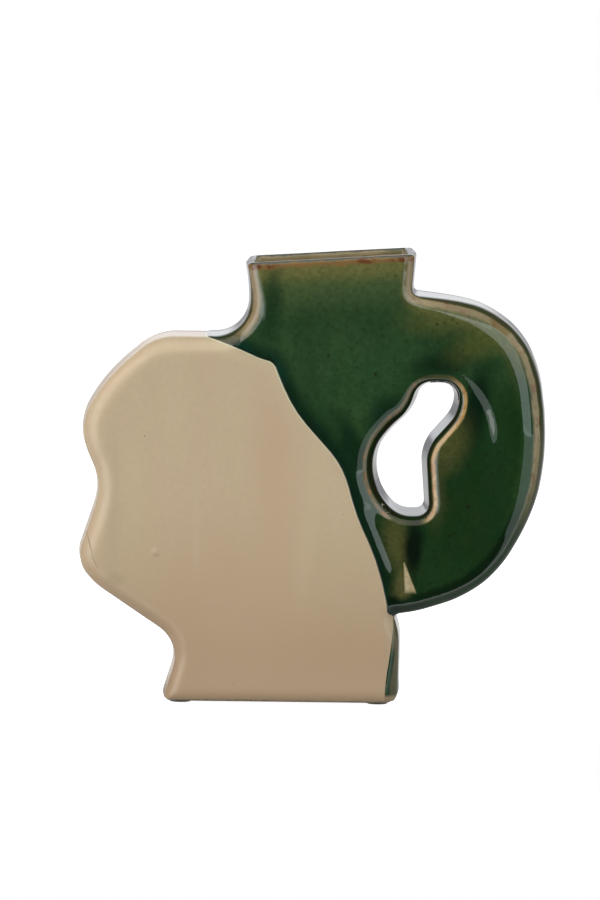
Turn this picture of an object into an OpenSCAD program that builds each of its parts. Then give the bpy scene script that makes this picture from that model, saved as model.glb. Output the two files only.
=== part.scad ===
// Flat slip-cast stoneware vase: a hollow clay body with a slot mouth, a hollow
// loop beside it, a cream and a green glaze coat, a glazed inside and four pads.
// The front face looks along -Y. The origin is on the table, below the middle.

/* [Body] */
// Width across the outline at the parting line
body_w = 250; // [210:1:320]
// Height of the clay from its foot to the high end of the rim
body_h = 241; // [205:1:310]
// Depth from the front face to the back face
body_d = 60; // [50:1:90]
// Slope of the rim, down to the left, in degrees
rim_slope = 3.7; // [0:0.1:6]

/* [Walls] */
// Thickness of the cast clay
clay_t = 4.4; // [3:0.1:5]
// Thickness of the glaze coats on the outside
coat_t = 0.7; // [0.4:0.1:1.2]
// Thickness of the glaze that lines the inside
liner_t = 0.6; // [0.4:0.1:1]
// Height of the bare clay band between the foot and the glaze line
bare_h = 1.6; // [0.5:0.1:4]

/* [Edges] */
// Radius of the front and back edges on the neck, the base and the hole
edge_r = 8; // [7:0.5:11]
// Radius of the front and back edges on the outside of the loop
loop_r = 14; // [10:0.5:16]
// How far the outer walls lean in from the parting line to each edge
draft = 1.5; // [0.5:0.1:3]
// How far the walls of the hole lean back from the parting line
hole_draft = 3.4; // [1:0.1:5]

/* [Foot pads] */
// Diameter of a foot pad
pad_d = 11; // [8:0.5:14]
// Thickness of a foot pad
pad_t = 1.2; // [0.8:0.1:2.5]
// Distance from a pad's middle to the left or right end of the foot
pad_end = 12; // [9:0.5:30]
// Distance from a pad's middle to the front or back face
pad_face = 17; // [15:0.5:22]

/* [Hidden] */

// Corners of the outline run anticlockwise. Each is [x share of body_w, z share
// of body_h, how far its arc reaches along half of the shorter side, edge radius
// from edge_r at 0 to loop_r at 1]. Corners at z 0 and 1 run past the foot and
// the rim, where the body is trimmed flat.

// Right side of the base, up to the notch under the loop
base_right_shares = [
    [0.193, 0, 0.45, 0], [0.196, 0.157, 0.95, 0], [0.183, 0.194, 0.15, 0.2]];
// Outside of the loop, from the notch round to the neck
loop_shares = [
    [0.227, 0.200, 0.95, 0.8], [0.331, 0.234, 0.95, 1], [0.405, 0.294, 0.95, 1],
    [0.475, 0.418, 0.95, 1], [0.500, 0.529, 0.95, 1], [0.499, 0.652, 0.95, 1],
    [0.482, 0.752, 0.95, 1], [0.445, 0.828, 0.95, 1], [0.373, 0.882, 0.95, 0.9],
    [0.311, 0.900, 0.95, 0.6]];
// Neck, from the corner beside the loop over the rim to the left fillet
neck_shares = [
    [0.213, 0.912, 0.2, 0], [0.225, 1, 0.3, 0], [-0.176, 1, 0.3, 0],
    [-0.141, 0.939, 0.6, 0], [-0.140, 0.814, 1.25, 0]];
// Left side, from the shoulder down to the waist above the foot
left_shares = [
    [-0.338, 0.815, 0.6, 0.3], [-0.439, 0.728, 0.95, 0.3], [-0.494, 0.634, 1.1, 0.3],
    [-0.494, 0.574, 0.8, 0.2], [-0.461, 0.495, 0.95, 0.2], [-0.461, 0.452, 0.95, 0.2],
    [-0.508, 0.307, 1.1, 0.3], [-0.463, 0.253, 0.5, 0.2], [-0.310, 0.147, 0.75, 0],
    [-0.290, 0.104, 0.95, 0]];
// Left end of the foot
foot_left_shares = [[-0.324, 0, 0.55, 0]];
outline_shares = concat(base_right_shares, loop_shares, neck_shares, left_shares, foot_left_shares);

// Corners of the through hole at the parting line, clockwise, in the same form
hole_shares = [
    [0.232, 0.704, 0.7, 0], [0.299, 0.705, 0.95, 0], [0.300, 0.653, 0.95, 0],
    [0.229, 0.571, 0.65, 0], [0.239, 0.430, 0.55, 0], [0.182, 0.429, 0.9, 0],
    [0.140, 0.490, 0.95, 0], [0.139, 0.557, 0.95, 0], [0.166, 0.600, 0.95, 0],
    [0.216, 0.647, 0.95, 0]];

// Corners of the cream side of the line where the glazes meet, in the same form
cream_shares = [
    [-0.7, -0.2, 0, 0], [0.161, -0.2, 0, 0], [0.161, 0.021, 0.95, 0],
    [0.169, 0.054, 0.95, 0], [0.174, 0.099, 0.95, 0], [0.169, 0.193, 0.6, 0],
    [0.166, 0.222, 0.95, 0], [0.140, 0.320, 0.95, 0], [0.093, 0.422, 0.95, 0],
    [0.073, 0.500, 0.95, 0], [0.053, 0.542, 0.95, 0], [-0.034, 0.643, 0.95, 0],
    [-0.063, 0.699, 0.95, 0], [-0.085, 0.757, 0.95, 0], [-0.110, 0.763, 0.95, 0],
    [-0.175, 0.793, 0.95, 0], [-0.231, 0.810, 0.3, 0], [-0.235, 0.950, 0, 0],
    [-0.7, 0.950, 0, 0]];

// Most degrees that one flat of an arc turns, outside and inside the clay
outer_step = 15;
inner_step = 22;
// Most degrees that one flat of a front or back edge turns, outside and inside
outer_edge_step = 30;
inner_edge_step = 45;
// Smallest radius that a corner or an edge keeps when it is drawn in
least_r = 0.5;
// Clay rubbed off to make the foot flat
rub = 1.2;
// Overrun of the neck and of the blocks that trim and split the coats
over = 20;

foot_z = pad_t;
rim_z = foot_z + body_h;
neck_right_x = neck_shares[0].x * body_w;
foot_left_x = foot_left_shares[0].x * body_w;
foot_right_x = base_right_shares[0].x * body_w;
pad_y = body_d / 2 - pad_face;
outer_flats = ceil(90 / outer_edge_step);
inner_flats = ceil(90 / inner_edge_step);

// Height of an outline corner, run past the foot at share 0 and the rim at 1
function corner_z(share) = share == 0 ? foot_z - draft - rub
    : share == 1 ? rim_z + over : foot_z + share * body_h;
outline = [for (c = outline_shares) [c.x * body_w, corner_z(c.y), c[2], c[3]]];
hole = [for (c = hole_shares) [c.x * body_w, corner_z(c.y), c[2], c[3]]];
cream_side = [for (c = cream_shares) [c.x * body_w, corner_z(c.y), c[2], c[3]]];

// Vector helpers
function spot(corner) = [corner.x, corner.y];
function unit(v) = v / norm(v);
function quarter_turn(v) = [-v.y, v.x];
function turned(v, a) = [v.x * cos(a) - v.y * sin(a), v.x * sin(a) + v.y * cos(a)];
function at(list, i) = list[(i + len(list)) % len(list)];

// Arc at corner i of a loop drawn in by inset, which lies left of the loop
function corner_arc(loop, i, inset, step) =
    let (here = spot(loop[i]),
        came = unit(here - spot(at(loop, i - 1))),
        goes = unit(spot(at(loop, i + 1)) - here),
        side = min(norm(here - spot(at(loop, i - 1))), norm(here - spot(at(loop, i + 1)))),
        turn = atan2(cross(came, goes), came * goes),
        half = abs(turn) / 2,
        moved = here + inset * quarter_turn(came + goes) / (1 + came * goes),
        r = max(loop[i][2] * side / 2 / tan(half) - sign(turn) * inset, least_r),
        inward = unit(goes - came),
        middle = moved + inward * r / cos(half),
        flats = max(1, ceil(abs(turn) / step)))
    [for (k = [0:flats]) middle - r * turned(inward, turn * (k / flats - 0.5))];

// Loop drawn in by inset, as points [x, z, edge mix]
function drawn_in(loop, inset, step) = [for (i = [0:len(loop) - 1])
    each [for (p = corner_arc(loop, i, inset, step)) [p.x, p.y, loop[i][3]]]];

// Depth lost to the rounded edge at a distance from the wall
function edge_fall(r, from_wall) = from_wall >= r ? 0 : r - sqrt(r * r - pow(r - from_wall, 2));

// Rings of a loop from the back face over the wall to the front face, each
// sunk under the finished surface by depth
function rings(loop, depth, lean, widest_r, flats, step) =
    [for (j = [-flats - 1:flats + 1])
        let (k = abs(j) - 1,
            from_wall = k < 0 ? 0 : (widest_r - depth) * (1 - cos(90 * k / flats)))
        [for (p = drawn_in(loop, depth + (k < 0 ? 0 : lean + from_wall), step))
            let (r = edge_r + (loop_r - edge_r) * p[2] - depth)
            [p.x, -sign(j) * (body_d / 2 - depth - edge_fall(r, from_wall)), p.y]]];

// Triangles between neighbouring rings, with points numbered from first
function skin(ring_list, first) =
    let (n = len(ring_list[0]))
    [for (j = [0:len(ring_list) - 2], i = [0:n - 1])
        let (a = first + j * n + i, b = first + j * n + (i + 1) % n)
        each [[a, b + n, b], [a, a + n, b + n]]];

// Ear clipping of a flat polygon given by its points' numbers
function spin(a, b, c) = cross(b - a, c - a);
function covers(a, b, c, p) = p != a && p != b && p != c
    && spin(a, b, p) >= 0 && spin(b, c, p) >= 0 && spin(c, a, p) >= 0;
function is_ear(points, ids, k) =
    let (a = points[at(ids, k - 1)], b = points[at(ids, k)], c = points[at(ids, k + 1)])
    spin(a, b, c) > 0 && len([for (i = ids) if (covers(a, b, c, points[i])) i]) == 0;
function next_ear(points, ids, k) = is_ear(points, ids, k) ? k : next_ear(points, ids, k + 1);
function clipped(points, ids) =
    [for (left = ids, k = next_ear(points, ids, 0); len(left) > 2;
        cut = k % len(left),
        left = [for (i = [0:len(left) - 1]) if (i != cut) left[i]],
        k = len(left) > 2 ? next_ear(points, left, cut + len(left)) : 0)
        [at(left, k - 1), at(left, k), at(left, k + 1)]];

// Outline and hole joined at their nearest points into one polygon of numbers
function bridged(outer, inner) =
    let (gaps = [for (a = outer) min([for (b = inner) norm(a - b)])],
        i = search(min(gaps), gaps)[0],
        reach = [for (b = inner) norm(outer[i] - b)],
        j = search(min(reach), reach)[0],
        n = len(outer),
        m = len(inner))
    concat([for (k = [0:n]) (i + k) % n], [for (k = [0:m]) n + (j + k) % m]);

// Solid inside the surface that lies a depth under the finished surface
module solid(depth, flats, step) {
    outer = rings(outline, depth, draft, loop_r, flats, step);
    inner = rings(hole, depth, hole_draft, edge_r, flats, step);
    n = len(outer[0]);
    m = len(inner[0]);
    last = 2 * flats + 2;
    first_inner = n * (last + 1);
    face = concat([for (p = outer[0]) [p.x, p.z]], [for (p = inner[0]) [p.x, p.z]]);
    ids = bridged([for (i = [0:n - 1]) face[i]], [for (i = [n:n + m - 1]) face[i]]);
    caps = clipped(face, ids);
    polyhedron(points = [each each outer, each each inner],
        faces = [
            each skin(outer, 0),
            each skin(inner, first_inner),
            for (t = caps) [for (i = t) i < n ? i : first_inner + i - n],
            for (t = caps) [for (i = [t[2], t[1], t[0]]) i < n ? last * n + i : first_inner + last * m + i - n]]);
}

// Block between a level and the slanted rim plane lowered by drop
module between(low_z, drop) {
    left_x = -body_w / 2 - over;
    right_x = body_w / 2 + over;
    high_z = rim_z - drop;
    rotate([90, 0, 0])
        linear_extrude(body_d + 2 * over, center = true)
            polygon([
                [left_x, low_z],
                [right_x, low_z],
                [right_x, high_z + tan(rim_slope) * (right_x - neck_right_x)],
                [left_x, high_z + tan(rim_slope) * (left_x - neck_right_x)]]);
}

// Everything on the cream side of the line where the two glazes meet
module cream_half() {
    rotate([90, 0, 0])
        linear_extrude(body_d + 2 * over, center = true)
            polygon([for (p = drawn_in(cream_side, 0, outer_step)) [p.x, p.y]]);
}

// Clay as cast and rubbed flat at the foot, before it is hollow
module clay_block() {
    intersection() {
        solid(coat_t, outer_flats, outer_step);
        between(foot_z, coat_t);
    }
}

// Hollow inside the clay, with a flat floor, running out past the rim
module cavity() {
    intersection() {
        solid(coat_t + clay_t, inner_flats, inner_step);
        between(foot_z + clay_t, -over);
    }
}

// Outer glaze all round, lapped over the clay's rim, before it is split
module coat() {
    difference() {
        intersection() {
            solid(0, outer_flats, outer_step);
            between(foot_z + bare_h, 0);
        }
        clay_block();
        cavity();
    }
}

module stoneware_body() {
    color("tan")
        difference() {
            clay_block();
            cavity();
        }
}

module cream_glaze() {
    color("wheat")
        intersection() {
            coat();
            cream_half();
        }
}

module green_glaze() {
    color("darkgreen")
        difference() {
            coat();
            cream_half();
        }
}

module liner_glaze() {
    color("burlywood")
        difference() {
            intersection() {
                cavity();
                between(foot_z, 0);
            }
            intersection() {
                solid(coat_t + clay_t + liner_t, inner_flats, inner_step);
                between(foot_z + clay_t + liner_t, -over);
            }
        }
}

module foot_pad(x, y) {
    color("gainsboro")
        translate([x, y, 0])
            cylinder(h = pad_t, d = pad_d, $fn = 48);
}

stoneware_body();
cream_glaze();
green_glaze();
liner_glaze();
foot_pad(foot_left_x + pad_end, -pad_y);  // foot_pad_front_left
foot_pad(foot_right_x - pad_end, -pad_y);  // foot_pad_front_right
foot_pad(foot_left_x + pad_end, pad_y);  // foot_pad_back_left
foot_pad(foot_right_x - pad_end, pad_y);  // foot_pad_back_right
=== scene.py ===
import math

import bmesh
import bpy
import numpy as np
from mathutils import Matrix, Vector, noise
from mathutils.bvhtree import BVHTree


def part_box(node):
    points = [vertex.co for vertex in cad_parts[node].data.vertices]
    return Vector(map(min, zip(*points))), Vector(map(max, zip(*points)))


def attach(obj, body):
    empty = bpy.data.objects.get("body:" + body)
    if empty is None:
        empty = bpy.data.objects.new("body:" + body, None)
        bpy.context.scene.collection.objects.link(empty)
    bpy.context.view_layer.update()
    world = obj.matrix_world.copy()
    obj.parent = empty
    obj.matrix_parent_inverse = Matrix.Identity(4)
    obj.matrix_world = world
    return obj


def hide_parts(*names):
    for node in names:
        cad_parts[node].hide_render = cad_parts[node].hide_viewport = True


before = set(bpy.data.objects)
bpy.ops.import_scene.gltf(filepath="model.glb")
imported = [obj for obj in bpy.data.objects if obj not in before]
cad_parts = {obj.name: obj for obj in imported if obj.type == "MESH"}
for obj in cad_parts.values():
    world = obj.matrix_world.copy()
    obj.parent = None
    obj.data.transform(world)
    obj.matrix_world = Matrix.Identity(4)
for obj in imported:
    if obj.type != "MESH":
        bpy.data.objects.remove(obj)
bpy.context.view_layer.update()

# Sizes of the vase, in metres

MM = 0.001
BODY_W = 250 * MM
BODY_H = 241 * MM
HALF_D = 30 * MM
FOOT_Z = 1.2 * MM
RIM_Z = FOOT_Z + BODY_H
RIM_SLOPE = math.radians(3.7)
NECK_RIGHT_X = 0.213 * BODY_W
OVERRUN = 20 * MM

# Depths under the mould's own surface
GLAZE_DEPTH = 0.35 * MM
CLAY_DEPTH = 0.95 * MM
CAVITY_DEPTH = 5.1 * MM
LINER_DEPTH = 5.7 * MM
FLOOR_Z = FOOT_Z + 5 * MM
BARE_Z = FOOT_Z + 1.6 * MM

# How the mould leans and rounds
WALL_LEAN = 1.5 * MM
HOLE_LEAN = 3.4 * MM
LIP_R = 2.5 * MM
FOOT_R = 1.2 * MM
FLOOR_R = 3 * MM

# Corners of the outline, anticlockwise: share of the width, share of the height,
# and how far the arc reaches along half of the shorter side
OUTLINE = [
    (0.193, 0, 0.45), (0.196, 0.157, 0.95), (0.183, 0.194, 0.15),
    (0.227, 0.200, 0.95), (0.331, 0.234, 0.95), (0.405, 0.294, 0.95), (0.475, 0.418, 0.95),
    (0.500, 0.529, 0.95), (0.499, 0.652, 0.95), (0.482, 0.752, 0.95), (0.445, 0.828, 0.95),
    (0.373, 0.882, 0.95), (0.311, 0.900, 0.95),
    (0.213, 0.912, 0.2), (0.225, 1, 0.3), (-0.176, 1, 0.3), (-0.141, 0.939, 0.6),
    (-0.140, 0.814, 1.25),
    (-0.338, 0.815, 0.6), (-0.439, 0.728, 0.95), (-0.494, 0.634, 1.1), (-0.494, 0.574, 0.8),
    (-0.461, 0.495, 0.95), (-0.461, 0.452, 0.95), (-0.508, 0.307, 1.1), (-0.463, 0.253, 0.5),
    (-0.310, 0.147, 0.75), (-0.290, 0.104, 0.95), (-0.324, 0, 0.55)]

# Corners of the through hole, clockwise
HOLE = [
    (0.232, 0.704, 0.7), (0.299, 0.705, 0.95), (0.300, 0.653, 0.95), (0.229, 0.571, 0.65),
    (0.239, 0.430, 0.55), (0.182, 0.429, 0.9), (0.140, 0.490, 0.95), (0.139, 0.557, 0.95),
    (0.166, 0.600, 0.95), (0.216, 0.647, 0.95)]

# Corners of the cream side of the line where the two glazes meet
CREAM_SIDE = [
    (-0.7, -0.2, 0), (0.161, -0.2, 0), (0.160, 0.021, 0.95), (0.163, 0.060, 0.95),
    (0.171, 0.112, 0.95), (0.177, 0.170, 0.95), (0.177, 0.196, 0.6), (0.163, 0.203, 0.9),
    (0.162, 0.224, 0.9), (0.140, 0.320, 0.95),
    (0.093, 0.422, 0.95), (0.073, 0.500, 0.95), (0.053, 0.542, 0.95), (-0.034, 0.643, 0.95),
    (-0.063, 0.699, 0.95), (-0.085, 0.757, 0.95), (-0.110, 0.763, 0.95),
    (-0.175, 0.793, 0.95), (-0.231, 0.810, 0.3), (-0.235, 0.950, 0), (-0.7, 0.950, 0)]


# Helpers

def placed(corners):
    """Corners in metres. Shares 0 and 1 run past the foot and the rim, which are cut later."""
    spots = []
    for across, up, reach in corners:
        z = FOOT_Z + up * BODY_H
        if up == 0:
            z = FOOT_Z - 2.7 * MM
        if up == 1:
            z = RIM_Z + OVERRUN
        spots.append((across * BODY_W, z, reach))
    return spots


def drawn_in(corners, inset):
    """The same corners moved inwards by inset, with arcs that stay parallel."""
    moved = []
    for i, (x, z, reach) in enumerate(corners):
        before = Vector(corners[i - 1][:2])
        here = Vector((x, z))
        after = Vector(corners[(i + 1) % len(corners)][:2])
        came = (here - before).normalized()
        goes = (after - here).normalized()
        turn = math.atan2(came.cross(goes), came.dot(goes))
        half = abs(turn) / 2
        side = min((here - before).length, (after - here).length)
        radius = reach * side / 2 / math.tan(half)
        radius = max(radius - math.copysign(inset, turn), 0.5 * MM)
        left = Vector((-(came + goes).y, (came + goes).x))
        spot = here + inset * left / (1 + came.dot(goes))
        moved.append((spot.x, spot.y, radius * math.tan(half), math.degrees(abs(turn))))
    return moved


def rounded_face(corners, inset=0, fineness=6):
    """A flat face whose corners each get their own arc."""
    bm = bmesh.new()
    spots = drawn_in(corners, inset)
    points = [bm.verts.new((x, 0, z)) for x, z, _, _ in spots]
    bm.faces.new(points)
    for point, (_, _, tangent, turn) in zip(points, spots):
        if tangent > 0.05 * MM:
            bmesh.ops.bevel(
                bm, geom=[point], offset=tangent, offset_type="OFFSET", affect="VERTICES",
                segments=max(2, round(turn / fineness)), profile=0.5, material=-1)
    return bm


def soft_loop(corners, spacing=1.0 * MM, rounds=8):
    """Points of an outline after its corners are rounded and relaxed."""
    bm = rounded_face(corners, 0, 4)
    for edge in bm.edges[:]:
        cuts = int(edge.calc_length() / spacing)
        if cuts:
            bmesh.ops.subdivide_edges(bm, edges=[edge], cuts=cuts)
    for _ in range(rounds):
        bmesh.ops.smooth_vert(
            bm, verts=bm.verts[:], factor=0.5, use_axis_x=True, use_axis_z=True)
    bm.faces.ensure_lookup_table()
    points = [(v.co.x, v.co.z) for v in bm.faces[0].verts]
    bm.free()
    return points


def made(name, bm):
    """An object at the origin from a bmesh."""
    mesh = bpy.data.meshes.new(name)
    bm.to_mesh(mesh)
    bm.free()
    obj = bpy.data.objects.new(name, mesh)
    bpy.context.scene.collection.objects.link(obj)
    return obj


def slab(name, corners, inset, half_depth):
    """A rounded face drawn out to both sides of the parting line."""
    bm = rounded_face(corners, inset)
    bmesh.ops.translate(bm, verts=bm.verts[:], vec=(0, -half_depth, 0))
    drawn = bmesh.ops.extrude_face_region(bm, geom=bm.faces[:], use_keep_orig=True)
    tips = [g for g in drawn["geom"] if isinstance(g, bmesh.types.BMVert)]
    bmesh.ops.translate(bm, verts=tips, vec=(0, 2 * half_depth, 0))
    bmesh.ops.recalc_face_normals(bm, faces=bm.faces[:])
    return made(name, bm)


def rim_height(x):
    """Height of the slanted rim plane."""
    return RIM_Z + math.tan(RIM_SLOPE) * (x - NECK_RIGHT_X)


def block(name, low_z, drop):
    """A block from a level up to the rim plane lowered by drop."""
    bm = bmesh.new()
    bmesh.ops.create_cube(bm, size=1)
    for v in bm.verts:
        x = v.co.x * (BODY_W + 2 * OVERRUN)
        z = low_z if v.co.z < 0 else rim_height(x) - drop
        v.co = Vector((x, v.co.y * 4 * HALF_D, z))
    return made(name, bm)


def finished(obj):
    """Applies the object's modifiers."""
    graph = bpy.context.evaluated_depsgraph_get()
    mesh = bpy.data.meshes.new_from_object(obj.evaluated_get(graph))
    obj.modifiers.clear()
    obj.data = mesh
    return obj


def cut(obj, tool, operation):
    """Joins, cuts or keeps the common part of two closed solids."""
    modifier = obj.modifiers.new("cut", "BOOLEAN")
    modifier.object = tool
    modifier.operation = operation
    modifier.solver = "MANIFOLD"
    bpy.context.view_layer.update()
    finished(obj)
    bpy.data.objects.remove(tool)
    return obj


# The mould's surface as a distance

class MouldWall:
    """One wall of the mould, seen from the front, with the clay on one side of it."""

    def __init__(self, points, clay_inside):
        area = sum(
            points[i - 1][0] * points[i][1] - points[i][0] * points[i - 1][1]
            for i in range(len(points)))
        if (area > 0) != clay_inside:
            points = points[::-1]
        spots = []
        for x, z in points:
            spots += [(x, -1, z), (x, 1, z)]
        n = len(points)
        faces = [(2 * i, 2 * i + 1, (2 * i + 3) % (2 * n), (2 * i + 2) % (2 * n)) for i in range(n)]
        self.tree = BVHTree.FromPolygons(spots, faces)
        _, normal, _, _ = self.tree.find_nearest((points[0][0], 0, points[0][1]))
        side = Vector(points[1]) - Vector(points[0])
        self.flip = 1 if normal.dot(Vector((side.y, 0, -side.x))) > 0 else -1

    def look(self, co):
        """Distance into the clay of each point, and the direction that it grows in."""
        into = np.empty(len(co))
        way = np.empty((len(co), 2))
        for i, (x, _, z) in enumerate(co.tolist()):
            spot, normal, _, gap = self.tree.find_nearest((x, 0, z))
            step_x = x - spot.x
            step_z = z - spot.z
            normal = normal * self.flip
            sign = -1 if step_x * normal.x + step_z * normal.z > 0 else 1
            into[i] = sign * gap
            if gap > 0.02 * MM:
                way[i] = sign * step_x / gap, sign * step_z / gap
            else:
                way[i] = -normal.x, -normal.z
        return into, way


def blend_up(values, low, high):
    """0 below low, 1 above high, smooth between."""
    t = np.clip((values - low) / (high - low), 0, 1)
    return t * t * (3 - 2 * t)


# Radius of the outline's front and back edges, and what its parts add to it
EDGE_R = 8 * MM
LOOP_ADDS = 6 * MM
LEFT_ADDS = 1.5 * MM
NECK_ADDS = -1.2 * MM
THROAT_ADDS = 3.5 * MM

# Where these parts start and are full: the loop in X, the others in X with its sign turned
# round, because they grow towards the left, and all of them in Z
LOOP_X = (45 * MM, 90 * MM)
LOOP_Z = (72 * MM, 130 * MM)
LEFT_X = (60 * MM, 100 * MM)
NECK_X = (-60 * MM, -52 * MM)
NECK_Z = (205 * MM, 215 * MM)
THROAT_X = (20 * MM, 28 * MM)
THROAT_FOOT_Z = (184 * MM, 196 * MM)
THROAT_TOP_Z = (210 * MM, 232 * MM)


def edge_radius(co):
    """Radius of the outline's front and back edges, widest at the loop's right side."""
    x, z = co[:, 0], co[:, 2]
    loop = blend_up(x, *LOOP_X) * blend_up(z, *LOOP_Z)
    left = blend_up(-x, *LEFT_X)
    neck = blend_up(z, *NECK_Z) * blend_up(-x, *NECK_X)
    throat = blend_up(z, *THROAT_FOOT_Z) * (1 - blend_up(z, *THROAT_TOP_Z)) * blend_up(-x, *THROAT_X)
    return EDGE_R + LOOP_ADDS * loop + LEFT_ADDS * left + NECK_ADDS * neck + THROAT_ADDS * throat


# The same for the hole's edges, whose left side is counted towards the left too
HOLE_EDGE_R = 7.5 * MM
HOLE_LEFT_ADDS = 3 * MM
HOLE_TOP_ADDS = -2 * MM
HOLE_LEFT_X = (-52 * MM, -40 * MM)
HOLE_TOP_Z = (160 * MM, 175 * MM)


def hole_radius(co):
    """Radius of the hole's front and back edges, wider at the left and tighter at the top."""
    left = blend_up(-co[:, 0], *HOLE_LEFT_X)
    top = blend_up(co[:, 2], *HOLE_TOP_Z)
    return HOLE_EDGE_R + HOLE_LEFT_ADDS * left + HOLE_TOP_ADDS * top


# Hollows pressed into both faces near the hole: a basin with a round far side, at the hole's
# upper right, and a run that leads down from the hole's foot
BASIN_DEPTH = 2.5 * MM
BASIN_MID = (0.220 * BODY_W, 0.595 * BODY_H)
BASIN_R = 41.4 * MM
BASIN_SLOPE_W = 7.2 * MM
BASIN_RISE = (15 * MM, 37 * MM)
RUN_DEPTH = 1.35 * MM
RUN_TOP = (0.104 * BODY_W, 0.435 * BODY_H)
RUN_FOOT = (0.168 * BODY_W, 0.277 * BODY_H)
RUN_SLOPE_W = 5.5 * MM
RUN_W = 20 * MM

# Where the hollows start and are full: in degrees round the basin's middle, past the run's
# top and before its foot, and away from the hole
BASIN_START_TURN = (-26, 14)
BASIN_END_TURN = (68, 105)
BASIN_FROM_HOLE = (4 * MM, 10 * MM)
RUN_FROM_TOP = (-6 * MM, 5 * MM)
RUN_END_SHARE = (0.8, 1.1)
RUN_FROM_HOLE = (4 * MM, 11 * MM)


def hollows(co, to_hole):
    """Depth of the basin and the run."""
    right = co[:, 0] - BASIN_MID[0]
    up = co[:, 2] - BASIN_MID[1]
    turn = np.degrees(np.arctan2(up, right))
    near = blend_up(turn, *BASIN_START_TURN) * (1 - blend_up(turn, *BASIN_END_TURN))
    away = np.hypot(right, up)
    far = blend_up(away, BASIN_R - BASIN_SLOPE_W / 2, BASIN_R + BASIN_SLOPE_W / 2)
    basin = BASIN_DEPTH * near * blend_up(away, *BASIN_RISE) * (1 - far)
    basin *= blend_up(to_hole, *BASIN_FROM_HOLE)
    across = RUN_FOOT[0] - RUN_TOP[0]
    down = RUN_FOOT[1] - RUN_TOP[1]
    length = math.hypot(across, down)
    gone_x = co[:, 0] - RUN_TOP[0]
    gone_z = co[:, 2] - RUN_TOP[1]
    along = (gone_x * across + gone_z * down) / length
    beside = (gone_z * across - gone_x * down) / length
    slope = blend_up(beside, 0, RUN_SLOPE_W) * (1 - blend_up(beside, RUN_SLOPE_W, RUN_W))
    ends = blend_up(along, *RUN_FROM_TOP) * (1 - blend_up(along / length, *RUN_END_SHARE))
    run = RUN_DEPTH * slope * ends * blend_up(to_hole, *RUN_FROM_HOLE)
    return basin + run


def pressed(co, wall, lean, radius):
    """Distance above the mould's surface near one wall, with its gradient."""
    into, way = wall.look(co)
    side = np.sign(co[:, 1])
    out = np.abs(co[:, 1])
    a = radius - (into - lean * out / HALF_D)
    b = out - (HALF_D - radius)
    over_a = np.maximum(a, 0)
    over_b = np.maximum(b, 0)
    reach = np.hypot(over_a, over_b)
    value = np.minimum(np.maximum(a, b), 0) + reach - radius
    safe = np.maximum(reach, 1e-9)
    share_a = np.where(reach > 0, over_a / safe, a > b)
    share_b = np.where(reach > 0, over_b / safe, a <= b)
    slope = np.stack([
        -way[:, 0] * share_a,
        side * (share_b + share_a * lean / HALF_D),
        -way[:, 1] * share_a], axis=1)
    return value, slope


def meet(one, other, radius):
    """Where two solids overlap, with a rounded edge."""
    p, grad_p = one
    q, grad_q = other
    u = np.maximum(p + radius, 0)
    v = np.maximum(q + radius, 0)
    reach = np.hypot(u, v)
    value = np.minimum(np.maximum(p, q), -radius) + reach
    safe = np.maximum(reach, 1e-9)
    share_p = np.where(reach > 0, u / safe, p > q)
    share_q = np.where(reach > 0, v / safe, p <= q)
    return value, grad_p * share_p[:, None] + grad_q * share_q[:, None]


OUTLINE_LOOP = soft_loop(placed(OUTLINE))
HOLE_LOOP = soft_loop(placed(HOLE))
OUTLINE_WALL = MouldWall(OUTLINE_LOOP, True)
HOLE_WALL = MouldWall(HOLE_LOOP, False)


def surface(co):
    """Distance above the mould's surface, with its gradient."""
    near_outline = pressed(co, OUTLINE_WALL, WALL_LEAN, edge_radius(co))
    near_hole = pressed(co, HOLE_WALL, HOLE_LEAN, hole_radius(co))
    hole = near_hole[0] > near_outline[0]
    value = np.where(hole, near_hole[0], near_outline[0])
    slope = np.where(hole[:, None], near_hole[1], near_outline[1])
    to_hole, _ = HOLE_WALL.look(co)
    return value + hollows(co, to_hole), slope


def rim_gap(co):
    """Distance above the rim plane."""
    high = (co[:, 2] - RIM_Z - math.tan(RIM_SLOPE) * (co[:, 0] - NECK_RIGHT_X)) * math.cos(RIM_SLOPE)
    slope = np.tile([-math.sin(RIM_SLOPE), 0, math.cos(RIM_SLOPE)], (len(co), 1))
    return high, slope


def hollow_wall(co, outside, inside, drop):
    """Distance above the surface of the hollow casting between two depths."""
    value, slope = surface(co)
    down = np.tile([0.0, 0.0, -1.0], (len(co), 1))
    outer = meet((value + outside, slope), (FOOT_Z - co[:, 2], down), FOOT_R)
    hollow = meet((value + inside, slope), (FLOOR_Z - co[:, 2], down), FLOOR_R)
    inner = outer[0] < -hollow[0]
    both = np.where(inner, -hollow[0], outer[0])
    both_slope = np.where(inner[:, None], -hollow[1], outer[1])
    high, high_slope = rim_gap(co)
    return meet((both, both_slope), (high + drop, high_slope), LIP_R) + (value,)


def coords(mesh):
    co = np.empty(len(mesh.vertices) * 3)
    mesh.vertices.foreach_get("co", co)
    return co.reshape(-1, 3)


def settle(obj, outside, inside, drop, rounds=3):
    """Moves every vertex onto the casting's surface."""
    co = coords(obj.data)
    for _ in range(rounds):
        value, slope, _ = hollow_wall(co, outside, inside, drop)
        size = np.maximum((slope ** 2).sum(axis=1), 0.2)
        co -= slope * (value / size)[:, None]
    obj.data.vertices.foreach_set("co", co.ravel())
    obj.data.update()


def relax(obj, rounds):
    """Evens out the spacing of the vertices."""
    bm = bmesh.new()
    bm.from_mesh(obj.data)
    for _ in range(rounds):
        bmesh.ops.smooth_vert(
            bm, verts=bm.verts[:], factor=0.5, use_axis_x=True, use_axis_y=True, use_axis_z=True)
    bm.to_mesh(obj.data)
    bm.free()


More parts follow.
